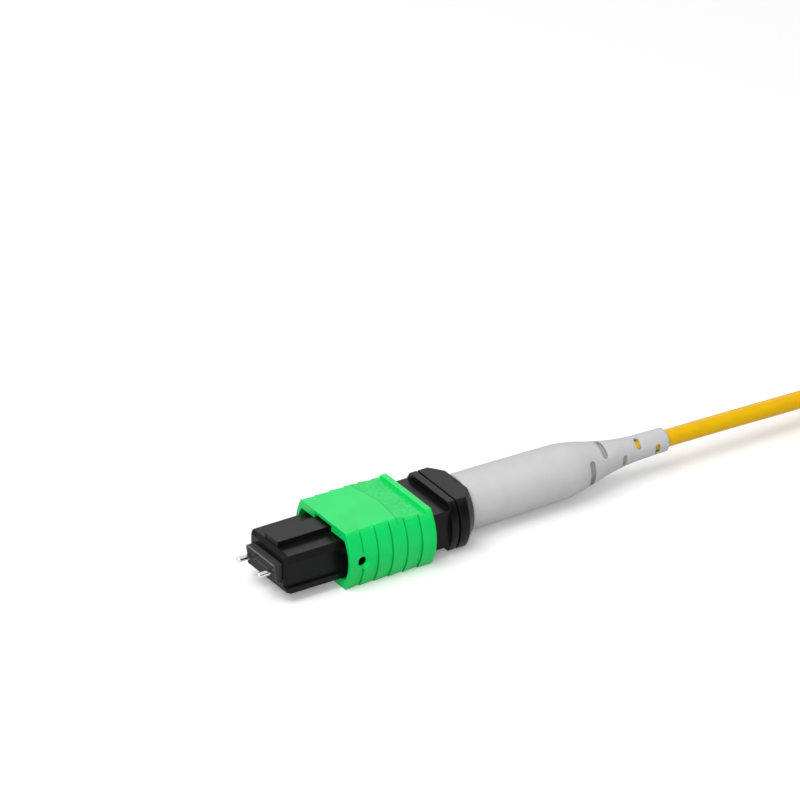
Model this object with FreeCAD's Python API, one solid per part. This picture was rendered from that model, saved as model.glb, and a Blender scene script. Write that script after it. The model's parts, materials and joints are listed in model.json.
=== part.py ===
"""MPO fibre connector: a twelve-fibre male plug on round cable.

Stations run along X from the ferrule's face toward the cable, and heights run
along Z from the plug's axis. The finished pieces are shifted together, so that
the plug stands on its sleeve with the origin under its middle.
"""
import FreeCAD, Part
import math
import os
from FreeCAD import Vector

os.makedirs("parts", exist_ok=True)

# ---- ferrule, pins and fibres
ferrule_width = 6.4
ferrule_height = 2.5
ferrule_length = 8.0
ferrule_face_angle = 8.0
ferrule_edge_chamfer = 0.15
ferrule_shoulder_length = 2.1
ferrule_shoulder_width = 7.0
ferrule_shoulder_height = 3.0
ferrule_window_length = 3.0
ferrule_window_width = 3.2
ferrule_window_station = 1.9
ferrule_pocket_length = 3.2
fibre_count = 12
fibre_pitch = 0.25
fibre_diameter = 0.125
fibre_bond_gap = 0.001
ribbon_thickness = 0.3
ribbon_edge = 0.17
pin_pitch = 4.6
pin_diameter = 0.7
pin_reach = 1.87
pin_nose_length = 0.5
pin_nose_diameter = 0.42
pin_fit_gap = 0.005
clamp_thickness = 1.8
clamp_width = 6.4
clamp_height = 2.6
clamp_slot_edge = 0.1
guide_boot_reach = 3.0
guide_boot_wall = 0.13
guide_boot_height = 1.15
ferrule_travel = 1.0

# ---- ferrule spring
ferrule_spring_wire = 0.5
ferrule_spring_width = 5.7
ferrule_spring_height = 2.9
ferrule_spring_turns = 5

# ---- inner housing
housing_setback = 1.04
housing_length = 19.86
housing_height = 5.04
housing_top_width = 8.1
housing_band_width = 8.6
housing_band_height = 1.05
housing_channel_width = 8.1
housing_rail_width = 8.9
housing_rail_height = 0.77
housing_front_chamfer = 0.65
housing_front_drop = 0.32
housing_corner_chamfer = 0.4
ferrule_gap = 0.1
shoulder_gap = 0.05
key_width = 2.95
key_height = 0.75
key_setback = 0.56
key_length = 9.9
catch_station = 9.4
catch_length = 1.0
catch_height = 0.25

# ---- spring push: seat block, neck, flange, barrel and latch arms
push_block_length = 3.9
push_gap = 0.1
neck_length = 3.3
neck_width = 9.7
neck_height = 5.0
flange_thickness = 1.0
barrel_diameter = 5.0
barrel_bore = 3.6
barrel_length = 7.8
arm_length = 2.4
arm_thickness = 0.5
arm_height = 2.4
hook_length = 1.1
hook_height = 0.4
hook_gap = 0.1

# ---- rear collar
collar_flat_width = 8.66
collar_height = 6.8
flange_bow_width = 11.0
collar_bow_width = 11.2
collar_groove = 0.2
collar_groove_depth = 0.5
collar_length = 2.77
collar_rear_diameter = 8.4
collar_cone_length = 1.39
collar_cone_rise = 1.3
collar_gap = 0.05

# ---- coupling sleeve
sleeve_setback = 8.0
sleeve_length = 12.26
sleeve_height = 7.8
sleeve_flat_width = 10.1
sleeve_front_width = 12.5
sleeve_rear_width = 13.0
sleeve_travel = 2.4
sleeve_bore_width = 9.9
sleeve_bore_height = 5.24
mouth_wall = 0.45
mouth_flat_width = 9.8
mouth_height = 5.6
mouth_depth = 3.1
key_slot_gap = 0.22
spring_ledge = 0.8
pocket_gap = 0.1
grip_count = 5
grip_first = 2.0
grip_pitch = 2.08
grip_depth = 0.22
hole_setback = 1.83
hole_diameter = 1.25
hole_land_diameter = 2.1
ridge_length = 0.8
ridge_drop = 0.05
ramp_length = 4.3
ramp_drop = 0.5

# ---- coupling springs
coupling_spring_wire = 0.2
coupling_spring_diameter = 1.2
coupling_spring_turns = 8
coupling_spring_gap = 0.3

# ---- crimp and yarn
crimp_wall = 0.3
crimp_length = 6.3
crimp_socket_depth = 1.47
yarn_thickness = 0.25
yarn_gather_length = 1.0
yarn_gather_diameter = 2.0
yarn_core_diameter = 1.3

# ---- boot
boot_front_diameter = 7.3
boot_parallel_length = 3.63
boot_shoulder_diameter = 6.94
boot_shoulder_station = 14.13
boot_waist_diameter = 3.18
boot_waist_station = 25.83
boot_end_diameter = 3.0
boot_length = 30.03
boot_cavity_gap = 0.05
boot_cavity_taper = 3.0
boot_end_rounding = 0.2
boot_bore_gap = 0.1

# ---- cable
cable_diameter = 2.2
hank_run = 41.85
hank_inner_bend = 7.0
hank_columns = 2
hank_rows = 4
hank_corner = 1.0
tie_thickness = 0.4
tie_width = 8.0

# Blind slots down the boot's cone: station from the boot's front, middle and half of the
# angle that each spans, width and depth. The middle is measured from the top toward -Y.
boot_slots = [
    (18.06, 102.0, 45.0, 0.85, 0.5),
    (20.4, 16.0, 46.0, 0.75, 0.5),
    (23.3, 108.0, 34.0, 0.7, 0.35),
]
# Slots right through the tail's wall: way back from the boot's end, and the same angles
# and width.
boot_tail_slots = [
    (4.44, 40.0, 30.0, 0.72),
    (1.8, 102.0, 30.0, 0.75),
]

# How far a cutting tool runs past the face that it opens.
overcut = 1.0

# ---- stations and half sizes that follow from the sizes above
housing_front = housing_setback
housing_rear = housing_front + housing_length
shoulder_front = ferrule_length - ferrule_shoulder_length
clamp_rear = ferrule_length + clamp_thickness
seat_station = housing_rear - push_block_length
flange_front = housing_rear + neck_length
flange_rear = flange_front + flange_thickness
collar_front = flange_rear + collar_groove
collar_rear = collar_front + collar_length
boot_front = collar_rear
boot_end = boot_front + boot_length
barrel_end = flange_rear + barrel_length
crimp_front = collar_rear - crimp_socket_depth
yarn_end = barrel_end + yarn_gather_length
sleeve_front = housing_front + sleeve_setback
sleeve_rear = sleeve_front + sleeve_length
pocket_front = sleeve_front + mouth_depth + spring_ledge
mouth_width = sleeve_front_width - 2 * mouth_wall
pocket_half = coupling_spring_diameter / 2 + pocket_gap
coupling_spring_offset = (housing_channel_width + coupling_spring_diameter) / 2 + coupling_spring_gap
sleeve_widest = max(sleeve_front_width, sleeve_rear_width)

window_half = ferrule_width / 2 + ferrule_gap
window_high = ferrule_height / 2 + ferrule_gap
cavity_half = ferrule_shoulder_width / 2 + ferrule_gap
cavity_high = ferrule_shoulder_height / 2 + ferrule_gap + shoulder_gap
block_half = cavity_half - push_gap
block_high = cavity_high - push_gap
ribbon_half = (fibre_count * fibre_pitch) / 2 + ribbon_edge / 2
guide_boot_half = ribbon_half + guide_boot_wall
guide_boot_high = guide_boot_height / 2
pin_side = pin_pitch / 2
hank_inside = hank_inner_bend - cable_diameter / 2
hank_outside = hank_inside + hank_columns * cable_diameter
hank_half_height = hank_rows * cable_diameter / 2
hank_bottom = -sleeve_height / 2 + tie_thickness

# The plug's middle along X, and the surface under its sleeve.
middle = (boot_end - pin_reach) / 2
SHIFT = Vector(-middle, 0, sleeve_height / 2)

# Route of the free cable from the boot to the hank, chosen by hand. Each point
# is the way past the boot's end, the way across and the height over the axis.
lead_points = [
    (0.0, 0.0, 0.0),
    (8.9, 0.0, -0.12),
    (17.4, 0.04, -0.38),
    (23.0, 0.02, -0.43),
    (28.6, 1.62, -0.3),
    (32.0, 2.8, -0.2),
]
# Middle of the hank's end loop that is nearer the boot, past the boot's end and across.
hank_reach = 36.5
hank_side = -5.4


# ---- plain forms
def block(x0, x1, half_width, z0, z1):
    """Block that is symmetrical about the plug's centre plane."""
    return Part.makeBox(x1 - x0, 2 * half_width, z1 - z0, Vector(x0, -half_width, z0))


def rod(radius, x0, x1, y=0.0, z=0.0):
    """Cylinder along X."""
    return Part.makeCylinder(radius, x1 - x0, Vector(x0, y, z), Vector(1, 0, 0))


def face_of(points):
    """Flat face with straight edges."""
    return Part.Face(Part.makePolygon(points + points[:1]))


def turned(points):
    """Solid of revolution about X from (station, radius) points."""
    outline = face_of([Vector(x, 0, r) for x, r in points])
    return outline.revolve(Vector(0, 0, 0), Vector(1, 0, 0), 360)


def bowed_outline(x, flat_half, high, bow_half):
    """Closed outline with a flat top and bottom and sides that bow outward."""
    right_top = Vector(x, -flat_half, high)
    right_low = Vector(x, -flat_half, -high)
    left_top = Vector(x, flat_half, high)
    left_low = Vector(x, flat_half, -high)
    edges = [
        Part.LineSegment(left_top, right_top),
        Part.Arc(right_top, Vector(x, -bow_half, 0), right_low),
        Part.LineSegment(right_low, left_low),
        Part.Arc(left_low, Vector(x, bow_half, 0), left_top),
    ]
    return Part.Wire([edge.toShape() for edge in edges])


def bowed_block(x0, x1, flat_half, high, bow_front, bow_rear):
    """Bowed section drawn out from x0 to x1."""
    front = bowed_outline(x0, flat_half, high, bow_front)
    rear = bowed_outline(x1, flat_half, high, bow_rear)
    return Part.makeLoft([front, rear], True, True)


def mirrored(shape):
    """The same piece on the other side of the centre plane."""
    return shape.mirror(Vector(0, 0, 0), Vector(0, 1, 0))


# ---- ferrule group
def ferrule_slope():
    """Wedge ahead of the angled face, whose top edge stands at station 0."""
    high = ferrule_height
    front = -2 * overcut
    lean = math.tan(math.radians(ferrule_face_angle))
    top = ferrule_height / 2
    outline = face_of([
        Vector(front, 0, high),
        Vector(-(high - top) * lean, 0, high),
        Vector((high + top) * lean, 0, -high),
        Vector(front, 0, -high),
    ])
    return outline.extrude(Vector(0, 2 * ferrule_shoulder_width, 0)).translate(
        Vector(0, -ferrule_shoulder_width, 0))


def fibre_rows():
    """Places of the fibres across the face."""
    first = -(fibre_count - 1) * fibre_pitch / 2
    return [first + n * fibre_pitch for n in range(fibre_count)]


def ferrule_pocket():
    """Opening at the ferrule's back, where the ribbon and its guide go in."""
    front = ferrule_length - ferrule_pocket_length
    return block(front, ferrule_length + overcut, guide_boot_half, -guide_boot_high, guide_boot_high)


def ferrule_window():
    """Opening in the ferrule's top, where the glue goes in."""
    rear = ferrule_window_station + ferrule_window_length
    floor = fibre_diameter
    return block(ferrule_window_station, rear, ferrule_window_width / 2, floor, ferrule_height / 2)


def mt_ferrule():
    """Moulded ferrule with two pin bores and twelve fibre bores."""
    half, high = ferrule_width / 2, ferrule_height / 2
    front = block(-overcut, ferrule_length, half, -high, high)
    long_edges = [e for e in front.Edges if e.BoundBox.XLength > ferrule_length]
    front = front.makeChamfer(ferrule_edge_chamfer, long_edges)
    shoulder = block(shoulder_front, ferrule_length, ferrule_shoulder_width / 2,
                     -ferrule_shoulder_height / 2, ferrule_shoulder_height / 2)
    body = front.fuse(shoulder).cut(ferrule_slope())
    cuts = [ferrule_pocket(), ferrule_window()]
    for side in (-pin_side, pin_side):
        cuts.append(rod(pin_diameter / 2 + pin_fit_gap, -overcut, ferrule_length + overcut, side))
    for y in fibre_rows():
        cuts.append(rod(fibre_diameter / 2 + fibre_bond_gap, -overcut, ferrule_length, y))
    return body.cut(cuts).removeSplitter()


def ferrule_epoxy():
    """Glue that fills the ferrule's window."""
    return ferrule_window()


def optical_fibres():
    """Twelve bare fibres, polished flush with the angled face."""
    rear = ferrule_length - ferrule_pocket_length + ribbon_thickness
    slope = ferrule_slope()
    return Part.makeCompound([
        rod(fibre_diameter / 2, -overcut, rear, y).cut(slope) for y in fibre_rows()])


def guide_pin():
    """Polished pin with a rounded nose, from its tip to the clamp's back.

    Its wall is in two stretches, the free end in front of the ferrule and the held one.
    """
    radius, nose = pin_diameter / 2, pin_nose_diameter / 2
    tip = -pin_reach
    shoulder = tip + pin_nose_length
    bulge = Vector(tip + 0.35 * pin_nose_length, 0, nose + 0.62 * (radius - nose))
    edges = [
        Part.LineSegment(Vector(tip, 0, 0), Vector(tip, 0, nose * 0.5)),
        Part.Arc(Vector(tip, 0, nose * 0.5), bulge, Vector(shoulder, 0, radius)),
        Part.LineSegment(Vector(shoulder, 0, radius), Vector(0, 0, radius)),
        Part.LineSegment(Vector(0, 0, radius), Vector(clamp_rear, 0, radius)),
        Part.LineSegment(Vector(clamp_rear, 0, radius), Vector(clamp_rear, 0, 0)),
        Part.LineSegment(Vector(clamp_rear, 0, 0), Vector(tip, 0, 0)),
    ]
    outline = Part.Face(Part.Wire([edge.toShape() for edge in edges]))
    return outline.revolve(Vector(0, 0, 0), Vector(1, 0, 0), 360)


def pin_clamp():
    """Metal clamp behind the ferrule, which grips both pins."""
    body = block(ferrule_length, clamp_rear, clamp_width / 2, -clamp_height / 2, clamp_height / 2)
    slot_half = guide_boot_half + clamp_slot_edge
    slot_high = guide_boot_high + clamp_slot_edge
    front, rear = ferrule_length - overcut, clamp_rear + overcut
    slot = block(front, rear, slot_half, -slot_high, slot_high)
    grips = [rod(pin_diameter / 2 + pin_fit_gap, front, rear, side)
             for side in (-pin_side, pin_side)]
    return body.cut([slot] + grips)


def ferrule_boot():
    """Soft guide that leads the ribbon into the ferrule's back."""
    front = ferrule_length - ferrule_pocket_length + 2 * ribbon_thickness
    rear = ferrule_length + guide_boot_reach
    outer = block(front, rear, guide_boot_half, -guide_boot_high, guide_boot_high)
    inner = block(front - overcut, rear + overcut, ribbon_half,
                  -ribbon_thickness / 2, ribbon_thickness / 2)
    return outer.cut(inner)


# ---- springs
def coil_points(x0, x1, wire, half_y, half_z, turns, y_middle):
    """Points on the wire's centre line: a closed turn at each end, open between."""
    per_turn = 12
    end_turns = 1.0
    start, end = x0 + wire / 2, x1 - wire / 2
    closed = wire * end_turns
    total = turns + 2 * end_turns
    points = []
    for step in range(int(total * per_turn) + 1):
        turn = step / per_turn
        if turn < end_turns:
            x = start + closed * turn
        elif turn > total - end_turns:
            x = end - closed * (total - turn)
        else:
            x = start + closed + (end - start - 2 * closed) * (turn - end_turns) / turns
        angle = 2 * math.pi * turn
        points.append(Vector(x, y_middle + half_y * math.cos(angle), half_z * math.sin(angle)))
    return points


def coil_spring(x0, x1, wire, width, height, turns, y_middle=0.0):
    """Compression spring along X, round or oval, between two seats."""
    points = coil_points(x0, x1, wire, (width - wire) / 2, (height - wire) / 2, turns, y_middle)
    curve = Part.BSplineCurve()
    curve.interpolate(points)
    path = Part.Wire([curve.toShape()])
    along = curve.tangent(curve.FirstParameter)[0]
    section = Part.Wire([Part.Circle(points[0], along, wire / 2).toShape()])
    return path.makePipeShell([section], True, True)


def ferrule_spring():
    return coil_spring(clamp_rear, seat_station, ferrule_spring_wire, ferrule_spring_width,
                       ferrule_spring_height, ferrule_spring_turns)


def coupling_spring(side):
    return coil_spring(pocket_front, housing_rear, coupling_spring_wire, coupling_spring_diameter,
                       coupling_spring_diameter, coupling_spring_turns,
                       side * coupling_spring_offset)


# ---- inner housing
def housing_section():
    """Half section of the housing, from the top middle down to the bottom."""
    high = housing_height / 2
    band = high - housing_band_height
    rail = -high + housing_rail_height
    return [
        (housing_top_width / 2, high),
        (housing_band_width / 2, band),
        (housing_channel_width / 2, band),
        (housing_channel_width / 2, rail),
        (housing_rail_width / 2, rail),
        (housing_rail_width / 2, -high),
    ]


def housing_shell():
    """Outer form of the housing with its front chamfers and the key."""
    half = housing_section()
    loop = [(-y, z) for y, z in half] + [(y, z) for y, z in reversed(half)]
    outline = face_of([Vector(housing_front, y, z) for y, z in loop])
    body = outline.extrude(Vector(housing_length, 0, 0))
    high = housing_height / 2
    wide = housing_rail_width
    top_cut = face_of([
        Vector(housing_front, -wide, high - housing_front_drop),
        Vector(housing_front + housing_front_chamfer, -wide, high),
        Vector(housing_front, -wide, high),
    ]).extrude(Vector(0, 2 * wide, 0))
    low_cut = top_cut.mirror(Vector(0, 0, 0), Vector(0, 0, 1))
    channel = housing_channel_width / 2
    corner_cut = face_of([
        Vector(housing_front, channel - housing_corner_chamfer, -high + housing_rail_height),
        Vector(housing_front + housing_corner_chamfer, channel, -high + housing_rail_height),
        Vector(housing_front + housing_corner_chamfer, channel + overcut,
               -high + housing_rail_height),
        Vector(housing_front, channel + overcut, -high + housing_rail_height),
    ]).extrude(Vector(0, 0, housing_height))
    body = body.cut([top_cut, low_cut, corner_cut, mirrored(corner_cut)])
    key_front = housing_front + key_setback
    key = block(key_front, key_front + key_length, key_width / 2,
                high - 2 * housing_front_drop, high + key_height)
    return body.fuse(key)


def housing_catch():
    """Ramp in the side channel, behind which an adapter's hook sits."""
    channel = housing_channel_width / 2
    band = housing_height / 2 - housing_band_height
    rail = -housing_height / 2 + housing_rail_height
    outline = face_of([
        Vector(catch_station, channel, rail),
        Vector(catch_station + catch_length, channel + catch_height, rail),
        Vector(catch_station + catch_length, channel, rail),
    ])
    return outline.extrude(Vector(0, 0, band - rail))


def hook_window():
    """Opening in a side wall, where the spring push snaps in."""
    front = seat_station - arm_length - hook_gap
    rear = front + hook_length + 2 * hook_gap
    half = arm_height / 2 + hook_gap
    return Part.makeBox(rear - front, 2 * housing_band_width, 2 * half,
                        Vector(front, -housing_band_width, -half))


def inner_housing():
    """Housing that holds the ferrule, its spring and the spring push."""
    high = housing_height / 2
    body = housing_shell().fuse([housing_catch(), mirrored(housing_catch())])
    step = shoulder_front - shoulder_gap
    window = block(housing_front - overcut, step + overcut, window_half, -window_high, window_high)
    cavity = block(step, housing_rear + overcut, cavity_half, -cavity_high, cavity_high)
    return body.cut([window, cavity, hook_window()]).removeSplitter()


# ---- spring push
def push_arm():
    """Latch arm that reaches forward along the spring and ends in a hook."""
    front = seat_station - arm_length
    outer = block_half
    outline = face_of([
        Vector(front, outer - arm_thickness, 0),
        Vector(front, outer + hook_gap, 0),
        Vector(front + hook_length, outer + hook_height, 0),
        Vector(front + hook_length, outer, 0),
        Vector(seat_station + overcut, outer, 0),
        Vector(seat_station + overcut, outer - arm_thickness, 0),
    ])
    return outline.extrude(Vector(0, 0, arm_height)).translate(Vector(0, 0, -arm_height / 2))


def spring_push():
    """Rear piece: seat for the spring, neck, flange and crimp barrel."""
    seat = block(seat_station, housing_rear + overcut, block_half, -block_high, block_high)
    neck = block(housing_rear, flange_rear, neck_width / 2, -neck_height / 2, neck_height / 2)
    flange = bowed_block(flange_front, flange_rear, collar_flat_width / 2, collar_height / 2,
                         flange_bow_width / 2, flange_bow_width / 2)
    barrel = rod(barrel_diameter / 2, flange_front, barrel_end)
    arm = push_arm()
    body = seat.fuse([neck, flange, barrel, arm, mirrored(arm)])
    slot = block(seat_station - overcut, flange_front, ribbon_half + 2 * ribbon_edge,
                 -2 * ribbon_thickness, 2 * ribbon_thickness)
    bore = rod(barrel_bore / 2, flange_front - neck_length / 2, barrel_end + overcut)
    return body.cut([slot, bore]).removeSplitter()


# ---- collar
def collar_envelope():
    """Round envelope whose cone trims the collar's rear."""
    slope = collar_cone_rise / collar_cone_length
    rear_radius = collar_rear_diameter / 2
    wide_radius = collar_bow_width / 2 + overcut
    run = (wide_radius - rear_radius) / slope
    return turned([
        (collar_front - overcut, 0),
        (collar_front - overcut, wide_radius),
        (collar_rear - run, wide_radius),
        (collar_rear, rear_radius),
        (collar_rear, 0),
    ])


def boot_collar():
    """Collar that closes the spring push, with a socket for the crimp."""
    wide = bowed_block(collar_front, collar_rear, collar_flat_width / 2, collar_height / 2,
                       collar_bow_width / 2, collar_bow_width / 2)
    trimmed = wide.common(collar_envelope())
    depth = collar_groove_depth
    spacer = bowed_block(flange_rear, collar_front, collar_flat_width / 2 - depth,
                         collar_height / 2 - depth, flange_bow_width / 2 - depth,
                         flange_bow_width / 2 - depth)
    bore = rod(barrel_diameter / 2 + collar_gap, flange_rear - overcut, collar_rear + overcut)
    crimp_half = barrel_diameter / 2 + yarn_thickness + crimp_wall
    socket = rod(crimp_half + collar_gap, crimp_front - collar_gap, collar_rear + overcut)
    return trimmed.fuse(spacer).cut([bore, socket]).removeSplitter()


# ---- crimp, yarn, ribbon and boot
def crimp_ring():
    """Metal ring, crimped over the yarn on the barrel."""
    inner = barrel_diameter / 2 + yarn_thickness
    outer = inner + crimp_wall
    rear = crimp_front + crimp_length
    return rod(outer, crimp_front, rear).cut(rod(inner, crimp_front - overcut, rear + overcut))


def aramid_yarn():
    """Yarn laid over the barrel and gathered toward the cable."""
    inner = barrel_diameter / 2
    outer = inner + yarn_thickness
    return turned([
        (crimp_front, inner),
        (crimp_front, outer),
        (barrel_end, outer),
        (yarn_end, yarn_gather_diameter / 2),
        (yarn_end, yarn_core_diameter / 2),
        (barrel_end, inner),
    ])


def fibre_ribbon():
    """Twelve coated fibres: flat behind the ferrule and a round bundle in the cable."""
    front = ferrule_length - ferrule_pocket_length + ribbon_thickness
    flat_end = flange_front - neck_length / 2
    round_half = (yarn_core_diameter - 0.1) / 2 / math.sqrt(2)
    flat = block(front, flat_end, ribbon_half, -ribbon_thickness / 2, ribbon_thickness / 2)
    sections = []
    for x, y, z in ((flat_end, ribbon_half, ribbon_thickness / 2),
                    (barrel_end, round_half, round_half),
                    (yarn_end, round_half, round_half)):
        sections.append(Part.makePolygon([
            Vector(x, -y, -z), Vector(x, y, -z), Vector(x, y, z), Vector(x, -y, z),
            Vector(x, -y, -z)]))
    gather = Part.makeLoft(sections[:2], True, True)
    bundle = Part.makeLoft(sections[1:], True, True)
    return flat.fuse([gather, bundle]).removeSplitter()


def boot_outline():
    """Outline of the boot: parallel front, long waist and a slim tail."""
    wall = boot_front_diameter / 2
    shoulder = Vector(boot_front + boot_shoulder_station, 0, boot_shoulder_diameter / 2)
    waist = Vector(boot_front + boot_waist_station, 0, boot_waist_diameter / 2)
    run = waist.x - shoulder.x
    drop = shoulder.z - waist.z
    curve = Part.BezierCurve()
    curve.setPoles([
        shoulder,
        Vector(shoulder.x + 0.32 * run, 0, shoulder.z - 0.03 * drop),
        Vector(shoulder.x + 0.54 * run, 0, waist.z + 0.1 * drop),
        waist,
    ])
    cavity = barrel_diameter / 2 + yarn_thickness + crimp_wall + boot_cavity_gap
    bore = cable_diameter / 2 + boot_bore_gap
    tail = boot_end_diameter / 2
    round_off = boot_end_rounding
    outer = [
        Vector(boot_front, 0, wall),
        Vector(boot_front + boot_parallel_length, 0, wall),
        shoulder,
    ]
    inner = [
        Vector(boot_end - round_off, 0, tail),
        Vector(boot_end, 0, tail - round_off),
        Vector(boot_end, 0, bore),
        Vector(yarn_end + boot_cavity_taper, 0, bore),
        Vector(yarn_end, 0, cavity),
        Vector(boot_front, 0, cavity),
        Vector(boot_front, 0, wall),
    ]
    edges = [Part.LineSegment(a, b).toShape() for a, b in zip(outer, outer[1:])]
    edges.append(curve.toShape())
    edges.append(Part.LineSegment(waist, inner[0]).toShape())
    edges += [Part.LineSegment(a, b).toShape() for a, b in zip(inner, inner[1:])]
    return Part.Face(Part.Wire(edges))


def boot_skin(solid, station):
    """Outer radius of the boot at a station."""
    wide = boot_front_diameter
    slice_there = Part.makeBox(0.01, 2 * wide, 2 * wide, Vector(station, -wide, -wide))
    return solid.common(slice_there).BoundBox.ZMax


def boot_slot(station, skin, floor, middle_angle, half_angle, width):
    """Slot round part of the boot, from its skin down to one radius, with round ends."""
    half = width / 2
    reach = skin + overcut
    band = face_of([
        Vector(station - half, 0, floor), Vector(station + half, 0, floor),
        Vector(station + half, 0, reach), Vector(station - half, 0, reach),
    ])
    inset = math.degrees(half / skin)
    sweep = 2 * (half_angle - inset)
    tool = band.revolve(Vector(0, 0, 0), Vector(1, 0, 0), sweep)
    ends = []
    for turn in (0, sweep):
        end = Part.makeCylinder(half, reach - floor, Vector(station, 0, floor), Vector(0, 0, 1))
        ends.append(end.rotate(Vector(0, 0, 0), Vector(1, 0, 0), turn))
    tool = tool.fuse(ends)
    return tool.rotate(Vector(0, 0, 0), Vector(1, 0, 0), middle_angle - sweep / 2)


def strain_relief_boot():
    """Bend relief that slips over the crimp and grips the cable."""
    body = boot_outline().revolve(Vector(0, 0, 0), Vector(1, 0, 0), 360)
    cuts = []
    for way, middle_angle, half_angle, width, depth in boot_slots:
        station = boot_front + way
        skin = boot_skin(body, station)
        for turn in (middle_angle, middle_angle + 180):
            cuts.append(boot_slot(station, skin, skin - depth, turn, half_angle, width))
    through = (cable_diameter + boot_bore_gap) / 2
    for way, middle_angle, half_angle, width in boot_tail_slots:
        station = boot_end - way
        skin = boot_skin(body, station)
        for turn in (middle_angle, middle_angle + 180):
            cuts.append(boot_slot(station, skin, through, turn, half_angle, width))
    return body.cut(cuts)


# ---- coupling sleeve
def sleeve_bow(station):
    """Half width of the sleeve at mid height, at a station."""
    share = (station - sleeve_front) / sleeve_length
    return (sleeve_front_width + (sleeve_rear_width - sleeve_front_width) * share) / 2


def sleeve_band(front, rear, step):
    """Stretch of the sleeve that narrows from its full width by step at its rear."""
    high, flat = sleeve_height / 2, sleeve_flat_width / 2
    wide = bowed_outline(front, flat, high, sleeve_bow(front))
    narrow = bowed_outline(rear, flat - step, high, sleeve_bow(rear) - step)
    return Part.makeLoft([wide, narrow], True, True)


def sleeve_bands():
    """Saw-tooth grips down both sides, and the plain band behind them."""
    edges = [sleeve_front] + [sleeve_front + grip_first + n * grip_pitch for n in range(grip_count)]
    bands = [sleeve_band(front, rear, grip_depth) for front, rear in zip(edges, edges[1:])]
    bands.append(sleeve_band(edges[-1], sleeve_rear, 0.0))
    return bands[0].fuse(bands[1:])


def hole_land():
    """What is left out round each side hole, down to the first grip's slope."""
    run = hole_setback + hole_land_diameter
    slope = sleeve_band(sleeve_front, sleeve_front + run, grip_depth * run / grip_first)
    disc = Part.makeCylinder(hole_land_diameter / 2, 2 * sleeve_widest,
                             Vector(sleeve_front + hole_setback, -sleeve_widest, 0),
                             Vector(0, 1, 0))
    return disc.cut(slope)


def sleeve_body():
    """Outer form of the sleeve: grips, ramp and rear ridge."""
    high = sleeve_height / 2
    ridge_front = sleeve_rear - ridge_length
    wide = sleeve_widest
    ramp = face_of([
        Vector(ridge_front - ramp_length, -wide, high),
        Vector(ridge_front, -wide, high - ramp_drop),
        Vector(ridge_front, -wide, high - ridge_drop),
        Vector(sleeve_rear + overcut, -wide, high - ridge_drop),
        Vector(sleeve_rear + overcut, -wide, high + overcut),
        Vector(ridge_front - ramp_length, -wide, high + overcut),
    ]).extrude(Vector(0, 2 * wide, 0))
    return sleeve_bands().cut(hole_land()).cut(ramp)


def coupling_sleeve():
    """Green sleeve that slides back to free the plug from an adapter."""
    body = sleeve_body()
    front, rear = sleeve_front - overcut, sleeve_rear + overcut
    bore = block(front, rear, sleeve_bore_width / 2, -sleeve_bore_height / 2, sleeve_bore_height / 2)
    mouth = bowed_block(front, sleeve_front + mouth_depth, mouth_flat_width / 2,
                        mouth_height / 2, mouth_width / 2, mouth_width / 2)
    slot_rear = sleeve_front + mouth_depth
    key_top = housing_height / 2 + key_height + key_slot_gap
    key_slot = block(front, slot_rear, key_width / 2 + 2 * key_slot_gap, 0, key_top)
    pocket = block(pocket_front, rear, coupling_spring_offset + pocket_half,
                   -pocket_half, pocket_half)
    hole = Part.makeCylinder(hole_diameter / 2, 2 * sleeve_widest,
                             Vector(sleeve_front + hole_setback, -sleeve_widest, 0),
                             Vector(0, 1, 0))
    return body.cut([bore, mouth, key_slot, pocket, hole]).removeSplitter()


# ---- cable
def rounded_route(points):
    """Straight runs joined by tangent arcs as large as the runs allow."""
    edges = []
    start = points[0]
    for before, corner, after in zip(points, points[1:], points[2:]):
        back = (before - corner).normalize()
        ahead = (after - corner).normalize()
        turn = math.pi - back.getAngle(ahead)
        reach = 0.45 * min((corner - before).Length, (after - corner).Length)
        radius = reach / math.tan(turn / 2)
        print("cable bend radius %.1f mm" % radius)
        arc_start, arc_end = corner + back * reach, corner + ahead * reach
        bisector = (back + ahead).normalize()
        centre_way = math.hypot(radius, reach)
        arc_middle = corner + bisector * (centre_way - radius)
        edges.append(Part.LineSegment(start, arc_start).toShape())
        edges.append(Part.Arc(arc_start, arc_middle, arc_end).toShape())
        start = arc_end
    edges.append(Part.LineSegment(start, points[-1]).toShape())
    return Part.Wire(edges)


def cable_in_boot():
    """Cable held by the crimp and the boot."""
    return rod(cable_diameter / 2, yarn_end, boot_end)


def cable_lead():
    """Free cable from the boot to the hank."""
    route = rounded_route([Vector(boot_end + x, y, z) for x, y, z in lead_points])
    first = route.OrderedVertexes[0].Point
    section = Part.Wire([Part.Circle(first, Vector(1, 0, 0), cable_diameter / 2).toShape()])
    tube = route.makePipeShell([section], True, False)
    expected = route.Length * math.pi * cable_diameter ** 2 / 4
    print("cable lead %.2f mm long, volume is %.4f of section times length"
          % (route.Length, tube.Volume / expected))
    return tube


def hank_outline(radius, height, bottom):
    """Upright slab with round ends, about the hank's two end loops."""
    near, far = boot_end + hank_reach, boot_end + hank_reach + hank_run
    ends = [Part.makeCylinder(radius, height, Vector(x, hank_side, bottom)) for x in (near, far)]
    run = Part.makeBox(hank_run, 2 * radius, height, Vector(near, hank_side - radius, bottom))
    return run.fuse(ends).removeSplitter()


def cable_hank():
    """Outer form of the spare cable's hank, with its long edges rounded."""
    height = 2 * hank_half_height
    slab = hank_outline(hank_outside, height, hank_bottom)
    hank = slab.cut(hank_outline(hank_inside, height, hank_bottom))
    level = [edge for edge in hank.Edges if edge.BoundBox.ZLength < 1e-6]
    return hank.makeFillet(hank_corner, level)


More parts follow.
